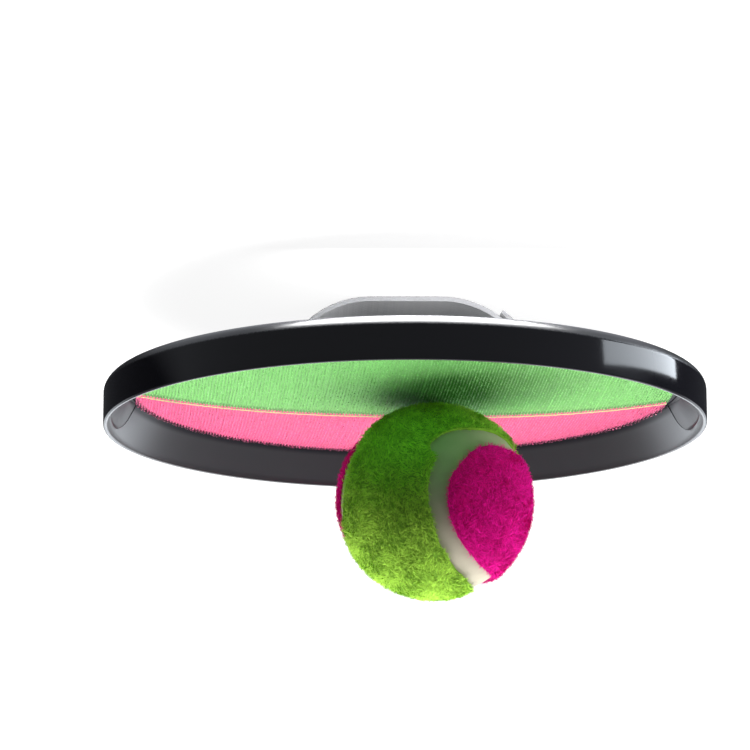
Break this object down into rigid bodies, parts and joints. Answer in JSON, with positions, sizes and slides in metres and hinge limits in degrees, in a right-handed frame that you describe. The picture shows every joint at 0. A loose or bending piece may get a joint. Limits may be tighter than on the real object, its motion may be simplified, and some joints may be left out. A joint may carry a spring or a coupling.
{
  "type": "sticky catch ball set",
  "caption": "Round hook-faced catching paddle with a green and pink pad, a hand strap behind it and a fuzzy ball stuck on its face.",
  "frame": {"origin": "under the middle of the disc, on the flat crest of the hand strap that the set lies on", "axes": "+Z out of the hook face, +X along the strap, -Y on the side of the green pad"},
  "size_m": [0.19, 0.19, 0.0954],
  "materials": {
    "shell_plastic": "glossy black moulded plastic",
    "hook_fabric_green": "dense rows of small nylon hooks",
    "hook_fabric_pink": "dense rows of small nylon hooks",
    "strap_webbing": "grey woven webbing",
    "core_rubber": "matt off-white rubber",
    "felt_green": "short fuzzy felt",
    "felt_pink": "short fuzzy felt"
  },
  "bodies": {
    "root": {"paddle_shell": "shell_plastic", "hook_pad_green": "hook_fabric_green", "hook_pad_pink": "hook_fabric_pink", "hand_strap": "strap_webbing", "ball_core": "core_rubber", "ball_felt_green": "felt_green", "ball_felt_pink": "felt_pink"}
  },
  "joints": []
}
